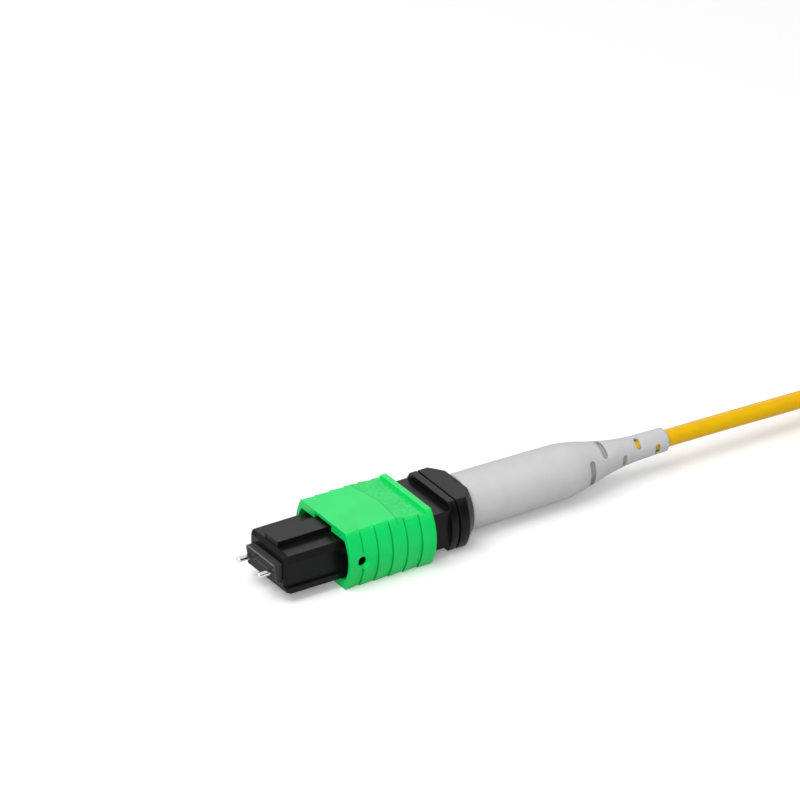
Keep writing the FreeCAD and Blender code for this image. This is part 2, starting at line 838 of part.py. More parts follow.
def hank_tie():
    """Strap round the middle of the hank."""
    x0 = boot_end + hank_reach + (hank_run - tie_width) / 2
    inside = Part.makeBox(tie_width, 2 * hank_outside, 2 * hank_half_height,
                          Vector(x0, hank_side - hank_outside, hank_bottom))
    outside = Part.makeBox(tie_width, 2 * (hank_outside + tie_thickness),
                           2 * (hank_half_height + tie_thickness),
                           Vector(x0, hank_side - hank_outside - tie_thickness,
                                  hank_bottom - tie_thickness))
    along = [[edge for edge in box.Edges if edge.BoundBox.XLength > tie_width / 2]
             for box in (inside, outside)]
    inside = inside.makeFillet(hank_corner, along[0])
    outside = outside.makeFillet(hank_corner + tie_thickness, along[1])
    return outside.cut(inside)


# ---- all pieces
pin = guide_pin()
PIECES = {
    "mt_ferrule": mt_ferrule(),
    "ferrule_epoxy": ferrule_epoxy(),
    "optical_fibres": optical_fibres(),
    "guide_pin_left": pin.translated(Vector(0, pin_side, 0)),
    "guide_pin_right": pin.translated(Vector(0, -pin_side, 0)),
    "pin_clamp": pin_clamp(),
    "ferrule_boot": ferrule_boot(),
    "ferrule_spring": ferrule_spring(),
    "fibre_ribbon": fibre_ribbon(),
    "inner_housing": inner_housing(),
    "coupling_spring_left": coupling_spring(1),
    "coupling_spring_right": coupling_spring(-1),
    "coupling_sleeve": coupling_sleeve(),
    "spring_push": spring_push(),
    "boot_collar": boot_collar(),
    "aramid_yarn": aramid_yarn(),
    "crimp_ring": crimp_ring(),
    "strain_relief_boot": strain_relief_boot(),
    "cable_in_boot": cable_in_boot(),
    "cable_lead": cable_lead(),
    "cable_hank": cable_hank(),
    "hank_tie": hank_tie(),
}

for name, shape in PIECES.items():
    shape = shape.copy()
    shape.translate(SHIFT)
    shape.exportStep("parts/" + name + ".step")
    print("%-24s solids %d  valid %s  volume %.3f" % (
        name, len(shape.Solids), shape.isValid(), shape.Volume))
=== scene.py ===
# %% [markdown]
# # A multi-fibre plug on its cable
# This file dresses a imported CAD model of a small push-pull fibre plug. The CAD solids give every
# size. Blender adds edges that catch the light, moulded and woven finishes, the cable's true run
# and the studio. Every length is in metres, and `mm` keeps small sizes readable.

# %% Load the frame
import json
import math

import bmesh
import bpy
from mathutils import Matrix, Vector


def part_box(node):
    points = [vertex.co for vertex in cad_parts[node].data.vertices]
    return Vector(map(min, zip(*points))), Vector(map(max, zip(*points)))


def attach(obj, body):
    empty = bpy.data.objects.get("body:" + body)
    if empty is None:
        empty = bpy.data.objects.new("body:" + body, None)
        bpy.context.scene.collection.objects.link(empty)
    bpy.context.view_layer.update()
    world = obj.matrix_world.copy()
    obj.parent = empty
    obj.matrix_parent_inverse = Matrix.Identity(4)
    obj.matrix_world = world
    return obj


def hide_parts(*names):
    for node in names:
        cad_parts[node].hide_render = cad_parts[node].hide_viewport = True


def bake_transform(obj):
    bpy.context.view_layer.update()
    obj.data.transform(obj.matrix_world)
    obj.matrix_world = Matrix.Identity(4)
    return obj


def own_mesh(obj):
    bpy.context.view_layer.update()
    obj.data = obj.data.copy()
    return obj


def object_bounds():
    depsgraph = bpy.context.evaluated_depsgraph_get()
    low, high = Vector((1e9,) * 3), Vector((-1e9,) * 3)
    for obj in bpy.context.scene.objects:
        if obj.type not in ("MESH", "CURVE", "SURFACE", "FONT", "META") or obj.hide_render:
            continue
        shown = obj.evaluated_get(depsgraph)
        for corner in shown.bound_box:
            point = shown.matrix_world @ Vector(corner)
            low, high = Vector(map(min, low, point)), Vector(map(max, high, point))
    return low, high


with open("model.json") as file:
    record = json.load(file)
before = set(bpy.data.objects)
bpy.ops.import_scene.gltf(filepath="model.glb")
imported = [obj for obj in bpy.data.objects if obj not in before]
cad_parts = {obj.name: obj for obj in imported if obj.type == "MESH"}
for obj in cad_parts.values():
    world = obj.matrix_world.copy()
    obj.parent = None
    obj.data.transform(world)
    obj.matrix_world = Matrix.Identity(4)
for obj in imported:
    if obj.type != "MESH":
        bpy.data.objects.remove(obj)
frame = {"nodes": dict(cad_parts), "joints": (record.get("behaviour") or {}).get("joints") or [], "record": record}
cad_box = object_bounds()
nodes = frame["nodes"]
mm = 0.001
print("CAD box in mm:", [[round(v / mm, 2) for v in corner] for corner in cad_box])

# %% [markdown]
# ## Where things are
# Places come from the boxes of the CAD nodes, so the scene follows the model if a size changes.
# The plug's axis runs along X, half way up the sleeve.

# %% Reference places
sleeve_low, sleeve_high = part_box("coupling_sleeve")
boot_low, boot_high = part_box("strain_relief_boot")
ferrule_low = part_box("mt_ferrule")[0]
axis_height = (sleeve_low.z + sleeve_high.z) / 2
boot_end = Vector((boot_high.x, 0, axis_height))
ferrule_front = Vector((ferrule_low.x, 0, axis_height))
print("axis height %.2f mm, boot end at %.2f mm" % (axis_height / mm, boot_end.x / mm))

# %% [markdown]
# ## Two small helpers
# Every piece, lamp and camera in Blender is an object that shows some data and has to be linked
# to the scene. A piece made by modifiers or by a curve is turned into a plain mesh by reading it
# back after Blender has worked it out.


# %% Objects and plain meshes
def shown(name, data):
    """New object in the scene that shows the data."""
    thing = bpy.data.objects.new(name, data)
    bpy.context.scene.collection.objects.link(thing)
    return thing


def plain_mesh(piece):
    """Mesh of a piece as its modifiers or its curve leave it."""
    bpy.context.view_layer.update()
    graph = bpy.context.evaluated_depsgraph_get()
    return bpy.data.meshes.new_from_object(piece.evaluated_get(graph))


# %% [markdown]
# ## The camera
# A very long lens, far away, gives the nearly parallel view that suits a small product. An
# orthographic camera would lose the last trace of depth, so a lens is used. The aim point is
# measured from the ferrule's face along the view's own right, up and forward directions.

# %% Camera
view_turn, view_rise = math.radians(-32.25), math.radians(29.23)
back = Vector((math.sin(view_turn) * math.cos(view_rise),
               -math.cos(view_turn) * math.cos(view_rise),
               math.sin(view_rise)))
right = Vector((math.cos(view_turn), math.sin(view_turn), 0))
up = back.cross(right)
view_width = 97.44 * mm
aim_right, aim_up, aim_ahead = 17.0 * mm, 19.92 * mm, 18.0 * mm
aim = ferrule_front + aim_right * right + aim_up * up - aim_ahead * back

camera_data = bpy.data.cameras.new("product_camera")
camera_data.lens = 1650
camera_data.sensor_width = 36
camera_data.clip_start, camera_data.clip_end = 0.1, 20
distance = view_width * camera_data.lens / camera_data.sensor_width
camera = shown("product_camera", camera_data)
camera.location = aim + back * distance
camera.rotation_mode = "QUATERNION"
camera.rotation_quaternion = back.to_track_quat("Z", "Y")
bpy.context.scene.camera = camera
print("camera is %.2f m away" % distance)

# %% [markdown]
# ## The free cable
# The real cable is one length of round jacket, 2.2 mm thick. It leaves the boot straight, sags a
# little and is folded into a long flat hank, two turns side by side and four high, with a strap
# round its middle. It could be a tube mesh, but one smooth NURBS curve from the boot to the cut
# end keeps its centre line, so its length can be measured. The first stretch is a short list of
# given points.

# %% Lead from the boot to the hank
cable_diameter = 2.2 * mm
lead_points = [
    (0.0, 0.0, 0.0),
    (8.9, 0.0, -0.12),
    (17.4, 0.04, -0.38),
    (23.0, 0.02, -0.43),
    (28.6, 1.62, -0.3),
    (32.0, 2.8, -0.2),
]
route = [boot_end + Vector(point) * mm for point in lead_points]
print("lead has", len(route), "points")

# %% [markdown]
# The turns of the hank are worked out by a loop. Each turn keeps its own place in the hank for
# most of its way and then shifts to the next place, in an order that keeps the turns apart.

# %% Places in the hank
hank_low, hank_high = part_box("cable_hank")
hank_middle = (hank_low + hank_high) / 2
outer_bend = (hank_high.y - hank_low.y - cable_diameter) / 2
run_length = hank_high.x - hank_low.x - cable_diameter - 2 * outer_bend
# Place of each turn, as (column from the inside, row from the bottom), and the stage at which
# the turn leaves it. The place ahead of a turn is always empty when the turn moves.
places = [(1, 1, 4), (1, 0, 3), (0, 0, 2), (0, 1, 2), (0, 2, 2), (0, 3, 1), (1, 3, 0), (1, 2, 0)]
first_shift, shift_share, shift_gap = 0.30, 0.12, 0.125
last_share = 0.28


def place_at(turn, share):
    """Column and row of a turn at a share of its way round."""
    column, row, stage = places[turn]
    if turn == len(places) - 1:
        return column, row
    begun = (share - first_shift - shift_gap * stage) / shift_share
    begun = min(max(begun, 0), 1)
    ease = begun * begun * (3 - 2 * begun)
    return [a + (b - a) * ease for a, b in zip((column, row), places[turn + 1][:2])]


print("hank has", len(places), "turns with runs of %.1f mm" % (run_length / mm))

# %% [markdown]
# One turn is two straight runs joined by two half circles. A NURBS curve passes inside its
# points, so the points of a bend stand outside it by the factor `corner_gain`. That keeps the
# bends as wide as they should be.

# %% One turn
middle_bend = outer_bend - cable_diameter / 2
points_per_bend = 6
corner_gain = 1 / (0.75 + 0.25 * math.cos(math.pi / points_per_bend))


def hank_turn():
    """Middle line of one turn, clockwise from the near end of its +Y run.

    Each point is its share of the way, its end loop's side, and its angle on that loop.
    """
    bend_length = math.pi * middle_bend
    round_trip = 2 * (run_length + bend_length)
    turn = []
    for half, side in ((0, 1), (1, -1)):
        start = half * (run_length + bend_length)
        run_angle = math.pi / 2 - math.pi * half
        for part in (0, 1 / 3, 2 / 3):
            turn.append(((start + part * run_length) / round_trip, side * (2 * part - 1), run_angle))
        for count in range(points_per_bend):
            part = count / points_per_bend
            share = (start + run_length + part * bend_length) / round_trip
            turn.append((share, side, run_angle - math.pi * part))
    return turn


def hank_point(turn, share, side, angle):
    """Point of a turn, where side runs from -1 at the near loop to 1 at the far one."""
    column, row = place_at(turn, share)
    bend = outer_bend + (column - 1) * cable_diameter
    if abs(side) == 1:
        joins_run = abs(math.cos(angle)) < 1e-6
        bend *= 1 + (corner_gain - 1) * (0.5 if joins_run else 1)
    height = hank_low.z + (row + 0.5) * cable_diameter
    return Vector((hank_middle.x + side * run_length / 2 + bend * math.cos(angle),
                   hank_middle.y + bend * math.sin(angle), height))


for turn in range(len(places)):
    for share, side, angle in hank_turn():
        if turn < len(places) - 1 or share < last_share:
            route.append(hank_point(turn, share, side, angle))
print("cable route has", len(route), "points")

# %% [markdown]
# A curve with a bevel is a round cable. The radius sits on its control points, because Blender
# counts it there when it measures the curve's box. The line's length is measured with the bevel
# switched off, since the evaluated curve is then a row of points.


# %% Cable curve
def smooth_line(name, points, radius):
    """Round line that follows the points as a NURBS curve."""
    curve = bpy.data.curves.new(name, "CURVE")
    curve.dimensions = "3D"
    curve.bevel_depth = 1.0
    curve.bevel_resolution = 6
    curve.resolution_u = 8
    curve.use_fill_caps = True
    spline = curve.splines.new("NURBS")
    spline.points.add(len(points) - 1)
    for control, point in zip(spline.points, points):
        control.co = (*point, 1)
        control.radius = radius
    spline.order_u = 3
    spline.use_endpoint_u = True
    return shown(name, curve)


def centreline(line):
    """Points along a curve's own line."""
    depth, line.data.bevel_depth = line.data.bevel_depth, 0
    mesh = plain_mesh(line)
    points = [vertex.co.copy() for vertex in mesh.vertices]
    bpy.data.meshes.remove(mesh)
    line.data.bevel_depth = depth
    bpy.context.view_layer.update()
    return points


cable = smooth_line("free_cable", route, cable_diameter / 2)
cable_line = centreline(cable)
cable_length = sum((b - a).length for a, b in zip(cable_line, cable_line[1:]))
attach(cable, "plug")
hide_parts("cable_lead", "cable_hank")
print("cable is %.3f m long" % cable_length)

# %% [markdown]
# ## Shader arithmetic
# A moulded or drawn surface is a sum of simple patterns. Its Math nodes could be added one at a
# time, but sums read better as sums. `Value` wraps a socket, so that patterns can be added and
# multiplied in plain Python, and each operator adds one Math node.


# %% Numbers in a node tree
class Value:
    """A number that flows through a node tree."""

    def __init__(self, maker, socket):
        self.maker, self.socket = maker, socket

    def reckon(self, operation, left, right=0.0):
        return self.maker.node("ShaderNodeMath", {"operation": operation}, {0: left, 1: right})

    def __add__(self, other):
        return self.reckon("ADD", self, other)

    def __radd__(self, other):
        return self.reckon("ADD", other, self)

    def __sub__(self, other):
        return self.reckon("SUBTRACT", self, other)

    def __rsub__(self, other):
        return self.reckon("SUBTRACT", other, self)

    def __mul__(self, other):
        return self.reckon("MULTIPLY", self, other)

    def __rmul__(self, other):
        return self.reckon("MULTIPLY", other, self)

    def __truediv__(self, other):
        return self.reckon("DIVIDE", self, other)

    def __abs__(self):
        return self.reckon("ABSOLUTE", self)

    def below(self, limit):
        return self.reckon("LESS_THAN", self, limit)

    def above(self, limit):
        return self.reckon("GREATER_THAN", self, limit)

    def most(self, other):
        return self.reckon("MAXIMUM", self, other)

    def least(self, other):
        return self.reckon("MINIMUM", self, other)

    def sine(self):
        return self.reckon("SINE", self)

    def cosine(self):
        return self.reckon("COSINE", self)

    def fraction(self):
        return self.reckon("FRACT", self)

    def root(self):
        return self.reckon("SQRT", self)

    def ease(self, low, high):
        """0 below low and 1 above high, with a soft change between."""
        return self.maker.node("ShaderNodeMapRange", {"interpolation_type": "SMOOTHSTEP"},
                               {0: self, 1: low, 2: high})


# %% [markdown]
# `Wiring` adds any other node to a tree. One method takes the node's type, its settings, and what
# goes into its sockets, so that a node takes one line wherever it is used.


# %% Wiring
class Wiring:
    """Adds nodes to a tree and joins them."""

    def __init__(self, tree):
        self.tree = tree

    def node(self, kind, settings, inputs, output=0):
        """New node with its settings, and with values or links in its sockets."""
        made = self.tree.nodes.new(kind)
        for key, value in settings.items():
            setattr(made, key, value)
        for key, value in inputs.items():
            self.join(value, made.inputs[key])
        return Value(self, made.outputs[output])

    def join(self, value, socket):
        """Links a value to a socket, or sets the socket to a plain number or colour."""
        if isinstance(value, Value):
            self.tree.links.new(value.socket, socket)
        else:
            socket.default_value = value

    def split(self, place):
        """The X, Y and Z of a place, one by one."""
        return [self.node("ShaderNodeSeparateXYZ", {}, {0: place}, axis) for axis in "XYZ"]


# %% [markdown]
# `Paint` is a wiring that owns one material. It reads places on a piece as object coordinates,
# because those stay fixed to the piece when a joint moves it. An unwrapped picture would do as
# well, but it would need seams, and its grain would stretch on a curved moulding.


# %% Paint
class Paint(Wiring):
    """One material, with its shader and the nodes that feed it."""

    def __init__(self, name, colour, roughness, metallic=0.0, specular=0.5):
        self.material = bpy.data.materials.new(name)
        self.material.use_nodes = True
        super().__init__(self.material.node_tree)
        self.shader = self.tree.nodes["Principled BSDF"]
        self.colour = (*colour, 1)
        self.set("Base Color", self.colour)
        self.set("Roughness", roughness)
        self.set("Metallic", metallic)
        self.set("Specular IOR Level", specular)

    def set(self, name, value):
        self.join(value, self.shader.inputs[name])

    def place(self):
        """Object coordinates in millimetres."""
        where = self.node("ShaderNodeTexCoord", {}, {}, "Object")
        return self.node("ShaderNodeVectorMath", {"operation": "SCALE"},
                         {0: where, "Scale": 1 / mm})

    def axes(self):
        """The three object coordinates in millimetres, one by one."""
        return self.split(self.place())

    def noise(self, scale, detail=2.0, roughness=0.5):
        return self.node("ShaderNodeTexNoise", {},
                         {"Vector": self.place(), "Scale": scale, "Detail": detail,
                          "Roughness": roughness})

    def tint(self, amount, other):
        """Lays another colour over the base colour so far, by an amount."""
        base = self.shader.inputs["Base Color"]
        so_far = Value(self, base.links[0].from_socket) if base.is_linked else self.colour
        mixed = self.node("ShaderNodeMix", {"data_type": "RGBA"},
                          {0: amount, 6: so_far, 7: (*other, 1)}, 2)
        self.join(mixed, base)

    def bump(self, height, depth_mm):
        """Surface relief, where a height of 1 stands up by the whole depth."""
        relief = self.node("ShaderNodeBump", {},
                           {"Height": height, "Distance": depth_mm * mm, "Strength": 1.0})
        self.set("Normal", relief)


# %% [markdown]
# ## Moulded plastics
# The green sleeve and the black pieces are injection moulded. Up close they have a spark-eroded
# grain a tenth of a millimetre across, and a slow drift in colour and gloss from the way the
# melt flowed. One function gives that, and each plastic adds its own colour.

# %% Moulded plastic
green = (0.002, 0.680, 0.135)
deep_green = (0.001, 0.630, 0.112)
# Darker green for the painted shade at the V-line and the grip steps, and for the ramp's specks.
shade_green = (0.0005, 0.24, 0.045)
black = (0.004, 0.004, 0.0043)
soft_black = (0.006, 0.006, 0.0065)
gloss = 0.12


def moulded(name, colour, drift_colour, roughness, grain=9.0, depth=0.003):
    """Moulded plastic: fine grain, and a slow drift in colour and gloss."""
    paint = Paint(name, colour, roughness, specular=gloss)
    drift = paint.noise(0.25, 3.0)
    paint.tint(drift.ease(0.35, 0.75), drift_colour)
    paint.set("Roughness", roughness - 0.05 + 0.1 * drift)
    paint.bump(paint.noise(grain, 3.0, 0.6), depth)
    return paint


housing_paint = moulded("housing_black", black, soft_black, 0.3)
print("made", housing_paint.material.name)

# %% [markdown]
# ## The sleeve's own marks
# The sleeve's top is polished in the mould and shines a little more than its sides. Behind a
# shallow V-shaped line the ramp is specked for the thumb, and the specks are a darker green. The
# V-line and the foot of each grip step are painted darker, as painted shade, and a hair line half
# way up each side shows where the two halves of the mould met. These marks are far too shallow
# to be worth modelling. They are stripes and masks on the object coordinates, in millimetres, so
# no extra mesh is needed.

# %% Sleeve finish
middle_height = axis_height / mm
top_height = middle_height + 3.2
ramp_point = sleeve_high.x / mm - 4.3
ridge_front = sleeve_high.x / mm - 0.8
line_lean_left, line_lean_right = 0.205, 0.118
flank = 5.1
grip_count, grip_pitch = 5, 2.08
grip_start = sleeve_low.x / mm + 2.0
grip_end = grip_start + (grip_count - 1) * grip_pitch
# The shade reaches this far past the first and the last step, and the first step's foot shows
# only outside the flat land round the side hole.
grip_slack = 0.3
hole_land_reach = 1.1


def sleeve_finish():
    """Green moulding: polished top, specked ramp, painted shade in the V-line and at the grip steps, parting line.
    """
    paint = moulded("sleeve_green", green, deep_green, 0.42)
    paint.set("Specular IOR Level", 0.2)
    along, across, height = paint.axes()
    rise = abs(height - middle_height)
    on_top = height.above(top_height)
    line_place = (along - ramp_point + line_lean_left * across.most(0)
                  - line_lean_right * across.least(0))
    line = (1 - abs(line_place).ease(0.03, 0.09)) * on_top
    ramp = line_place.above(0) * along.below(ridge_front) * on_top
    parting = 1 - rise.ease(0.015, 0.05)
    specks = paint.noise(2.6, 3.0, 0.6).ease(0.5, 0.58) * ramp
    grain = paint.noise(9.0, 3.0, 0.6)
    step = ((along - grip_start) / grip_pitch).fraction()
    step_shade = (1 - abs(step - step.above(0.5)).ease(0.014, 0.034)) * abs(across).above(flank)
    step_shade *= along.above(grip_start - grip_slack) * along.below(grip_end + grip_slack)
    step_shade *= along.above(grip_start + grip_slack).most(rise.above(hole_land_reach))
    # Painted shade: the V-line and the foot of each grip step are tinted darker. The specks are a darker green.
    paint.tint(0.2 * specks + 0.35 * line + 0.75 * step_shade, shade_green)
    paint.bump(0.08 * grain + 0.6 * specks - 0.9 * line + 0.5 * parting, 0.04)
    paint.set("Coat Weight", on_top * 0.2)
    paint.set("Coat Roughness", 0.35)
    return paint


sleeve_paint = sleeve_finish()
print("grip steps from %.2f to %.2f mm" % (grip_start, grip_end))

# %% [markdown]
# ## The ferrule
# The ferrule is a glass-filled plastic, greyer than the housing. Its face is ground to a slant
# and polished. The face is painted a darker grey, as painted shade, and a fine bright line round
# it is a painted highlight on its edges. The highlight lies where the distance to the face and the
# distance to the top or the end are both small, so it needs no edge loop in the mesh and stays
# the same width all along.

# %% Ferrule finish
nose_height, nose_width = 2.5, 6.4
face_slope = math.tan(math.radians(8))
ferrule_grey, pale_grey = (0.046, 0.046, 0.047), (0.052, 0.052, 0.053)
# A darker grey for painted shade on the slanted face, and a pale grey for painted highlights on its edges.
face_shade_grey, edge_highlight_grey = (0.013, 0.013, 0.0135), (0.2, 0.2, 0.2)


def ferrule_finish():
    """Glass-filled ferrule plastic: painted shade on the polished face, painted highlights on its edges."""
    paint = moulded("ferrule_black", ferrule_grey, pale_grey, 0.34, grain=14.0, depth=0.002)
    paint.set("Specular IOR Level", 0.05)
    along, across, height = paint.axes()
    below_top = middle_height + nose_height / 2 - height
    behind_face = along - ferrule_low.x / mm - face_slope * below_top
    inside_end = nose_width / 2 - abs(across)
    top_edge_highlight = 1 - (below_top + behind_face).ease(0.05, 0.14)
    end_edge_highlight = 1 - (inside_end + behind_face).ease(0.04, 0.1)
    # Painted shade on the face, then painted highlights along its top and end edges.
    paint.tint(behind_face.below(0.04), face_shade_grey)
    paint.tint(top_edge_highlight.most(0.4 * end_edge_highlight), edge_highlight_grey)
    return paint


ferrule_paint = ferrule_finish()
print("face leans %.2f mm over its height" % (face_slope * nose_height))

# %% [markdown]
# ## Metals
# The guide pins are ground and polished steel, with faint rings left by the grinding wheel. The
# springs, the clamp and the crimp ring are duller. Stretched noise would give streaks, but what
# turning and grinding leave is rings. They are a sine of the way along X, made a little uneven by
# noise.


# %% Metals
def turned_metal(name, colour, roughness, ring_pitch, depth):
    """Metal with faint rings round the X axis."""
    paint = Paint(name, colour, roughness, metallic=1.0)
    along = paint.axes()[0]
    rings = (along * (2 * math.pi / ring_pitch) + 3.0 * paint.noise(2.0)).sine()
    paint.bump(rings, depth)
    paint.set("Roughness", roughness + 0.08 * paint.noise(1.2))
    return paint


pin_paint = turned_metal("pin_steel", (0.66, 0.66, 0.67), 0.12, 0.12, 0.0006)
spring_paint = turned_metal("spring_steel", (0.56, 0.56, 0.58), 0.28, 0.08, 0.001)
clamp_paint = turned_metal("clamp_steel", (0.62, 0.62, 0.64), 0.3, 0.1, 0.001)
crimp_paint = turned_metal("crimp_metal", (0.75, 0.74, 0.72), 0.34, 0.5, 0.004)
print("made", [paint.material.name for paint in (pin_paint, spring_paint, clamp_paint, crimp_paint)])

# %% [markdown]
# ## Rubber, glue, glass and jacket
# Soft pieces are matt, with a cloudy drift in colour and a soft grain. The same function, with
# other numbers, gives the cable's jacket, the guide behind the ferrule, the cured glue in its
# window and the twelve fibre ends, because each of them has one skin with slight unevenness.


# %% Soft plastics
def soft_plastic(name, colour, other, roughness, grain, depth):
    """Rubber-like skin: matt, with a soft grain and slight unevenness."""
    paint = Paint(name, colour, roughness, specular=0.25)
    cloud = paint.noise(0.35, 3.0)
    paint.tint(cloud.ease(0.35, 0.7), other)
    paint.bump(paint.noise(grain, 4.0, 0.6), depth)
    return paint


guide_paint = soft_plastic("guide_rubber", (0.05, 0.05, 0.05), (0.07, 0.07, 0.07), 0.6, 8.0, 0.004)
epoxy_paint = soft_plastic("cured_epoxy", (0.45, 0.25, 0.08), (0.36, 0.19, 0.05), 0.2, 3.0, 0.002)
fibre_paint = soft_plastic("fibre_glass", (0.12, 0.12, 0.13), (0.09, 0.09, 0.10), 0.15, 9.0, 0.001)
cable_paint = soft_plastic("cable_yellow", (0.81, 0.475, 0.0), (0.77, 0.445, 0.0), 0.25, 2.2, 0.004)
cable_paint.set("Specular IOR Level", 0.16)
print("made", cable_paint.material.name)

# %% [markdown]
# ## The boot and its slots
# The boot is a soft grey elastomer with slots that let it bend. Little light gets down into a
# slot, so its floor and walls are painted darker. They could be picked face by face, but a rule
# is shorter: a point is in a slot if it lies in the slot's band along the boot and nearer the
# axis than the skin does there. The skin's radius is read from the CAD mesh, on both sides of
# each row, so the paint follows the boot's curve.

# %% Boot finish
boot_grey, cloud_grey = (0.575, 0.575, 0.58), (0.545, 0.545, 0.55)
# A darker grey for the painted shade down in the slots.
slot_shade_grey = (0.36, 0.36, 0.365)
skin_depth = 0.2
slot_reach = 0.6
# Station of each row of slots and half of its width.
slot_rows = [
    (boot_low.x / mm + 18.06, 0.43),
    (boot_low.x / mm + 20.4, 0.38),
    (boot_low.x / mm + 23.3, 0.35),
    (boot_high.x / mm - 4.44, 0.36),
    (boot_high.x / mm - 1.8, 0.38),
]


def boot_radius(station):
    """Radius of the boot's skin at a station, between its widest points before and behind."""
    corners = [vertex.co / mm for vertex in nodes["strain_relief_boot"].data.vertices]
    near = [(corner.x - station, math.hypot(corner.y, corner.z - middle_height))
            for corner in corners if abs(corner.x - station) < slot_reach]
    before = max(radius for way, radius in near if way < 0)
    behind = max(radius for way, radius in near if way > 0)
    return (before + behind) / 2


def boot_finish():
    """Grey elastomer, with painted shade down in its slots."""
    paint = soft_plastic("boot_grey", boot_grey, cloud_grey, 0.5, 6.0, 0.003)
    along, across, height = paint.axes()
    rise = height - middle_height
    radius = (across * across + rise * rise).root()
    for station, half_width in slot_rows:
        skin = boot_radius(station)
        print("slots at %.2f mm, where the boot's radius is %.2f mm" % (station, skin))
        # Painted shade: the floor and walls of each slot are tinted darker.
        slot_shade = abs(along - station).below(half_width) * radius.below(skin - skin_depth)
        paint.tint(slot_shade, slot_shade_grey)
    return paint


boot_paint = boot_finish()

# %% [markdown]
# ## Threads and cloth
# Aramid yarn and the fibre ribbon are threads laid side by side along X, which is one sine across
# them. The strap round the hank is woven, and two sines that cross make its cloth. At this size
# single strands would cost thousands of faces, and relief in the material looks the same.


# %% Threads and cloth
def threads(name, colour, other, pitch, depth):
    """Fibres laid side by side along X, seen across Y."""
    paint = Paint(name, colour, 0.6)
    along, across, height = paint.axes()
    strands = ((across + height) * (2 * math.pi / pitch) + 2.0 * paint.noise(1.5)).sine()
    paint.tint(strands.ease(-0.4, 0.8), other)
    paint.bump(strands, depth)
    return paint


def woven(name, colour, other, pitch):
    """Woven strap: crossing threads, on the strap's upright and flat sides alike."""
    paint = Paint(name, colour, 0.85)
    along, across, height = paint.axes()
    wave = 2 * math.pi / pitch
    warp = ((along + height) * wave).sine()
    weft = ((across - height) * wave).sine()
    cloth = (warp * weft).ease(-0.5, 0.5)
    paint.tint(cloth, other)
    paint.bump(cloth, 0.05)
    return paint


yarn_paint = threads("aramid_yellow", (0.80, 0.58, 0.14), (0.62, 0.42, 0.08), 0.12, 0.02)
ribbon_paint = threads("ribbon_coating", (0.62, 0.72, 0.80), (0.35, 0.45, 0.60), 0.25, 0.01)
tie_paint = woven("tie_black", (0.012, 0.012, 0.013), (0.03, 0.03, 0.032), 0.7)
print("made", [paint.material.name for paint in (yarn_paint, ribbon_paint, tie_paint)])

# %% [markdown]
# ## Giving each node its finish
# A node whose CAD form is right stays as it is, and only its material slots change. The table
# below is all that has to be read to see which piece has which finish.

# %% Finishes of the nodes
finishes = {
    "guide_pin_left": pin_paint, "guide_pin_right": pin_paint, "pin_clamp": clamp_paint,
    "ferrule_epoxy": epoxy_paint, "ferrule_boot": guide_paint, "aramid_yarn": yarn_paint,
    "crimp_ring": crimp_paint, "cable_in_boot": cable_paint, "hank_tie": tie_paint,
}


def coat(piece, paint):
    """Puts one material on the whole of a piece."""
    piece.data.materials.clear()
    piece.data.materials.append(paint.material)


for name, paint in finishes.items():
    coat(nodes[name], paint)
coat(cable, cable_paint)
print("coated", len(finishes), "nodes and the free cable")

# %% [markdown]
# ## Edges that catch the light
# A moulded edge is never sharp, and its rounding draws the thin bright lines that make a small
# plastic part look real. A Bevel node in the material could fake it, but then the exported mesh
# would stay sharp. So these pieces are copies of their CAD nodes with real roundings. A CAD
# node's mesh is loose triangles, which have to be welded first.

# %% Welding
weld = 0.0005 * mm
flat_angle = math.radians(0.5)
sharp_angle = math.radians(32)


def body_of(node):
    """Name of the body that carries a CAD node."""
    bodies = frame["record"]["behaviour"]["bodies"]
    return next(body for body, members in bodies.items() if node in members)


def welded(mesh):
    """The mesh as an editable form, with its loose triangles joined."""
    form = bmesh.new()
    form.from_mesh(mesh)
    bmesh.ops.remove_doubles(form, verts=form.verts, dist=weld)
    return form


print("corners nearer than %.4f mm are joined" % (weld / mm))

# %% [markdown]
# The inner edges of flat faces are dissolved, so that the Bevel modifier finds only real edges.
# Weighted normals keep the broad faces flat beside the rounding.


# %% Rounded copies
def rounded(node, name, width, paint):
    """Copy of a CAD node with its edges rounded, in place of the node."""
    mesh = nodes[node].data.copy()
    form = welded(mesh)
    bmesh.ops.dissolve_limit(form, angle_limit=flat_angle, verts=form.verts, edges=form.edges)
    form.to_mesh(mesh)
    form.free()
    mesh.shade_smooth()
    piece = shown(name, mesh)
    bevel = piece.modifiers.new("edge", "BEVEL")
    bevel.width = width
    bevel.segments = 2
    bevel.limit_method = "ANGLE"
    bevel.angle_limit = sharp_angle
    normals = piece.modifiers.new("flat faces", "WEIGHTED_NORMAL")
    normals.weight = 100
    finished = plain_mesh(piece)
    piece.modifiers.clear()
    piece.data = finished
    coat(piece, paint)
    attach(piece, body_of(node))
    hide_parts(node)
    print(name, "has", len(finished.polygons), "faces")


rounded("coupling_sleeve", "sleeve_shell", 0.06 * mm, sleeve_paint)
rounded("inner_housing", "plug_housing", 0.06 * mm, housing_paint)
rounded("spring_push", "rear_push", 0.05 * mm, housing_paint)
rounded("boot_collar", "rear_collar", 0.05 * mm, housing_paint)
rounded("mt_ferrule", "ferrule_block", 0.03 * mm, ferrule_paint)
rounded("strain_relief_boot", "slotted_boot", 0.05 * mm, boot_paint)

# %% [markdown]
# ## Growing what repeats
# Geometry Nodes make a shape from a rule. `Growth` builds one tree whose named inputs are the
# piece's sizes. The tree is run once, its result is kept as a plain mesh, and the modifier goes.


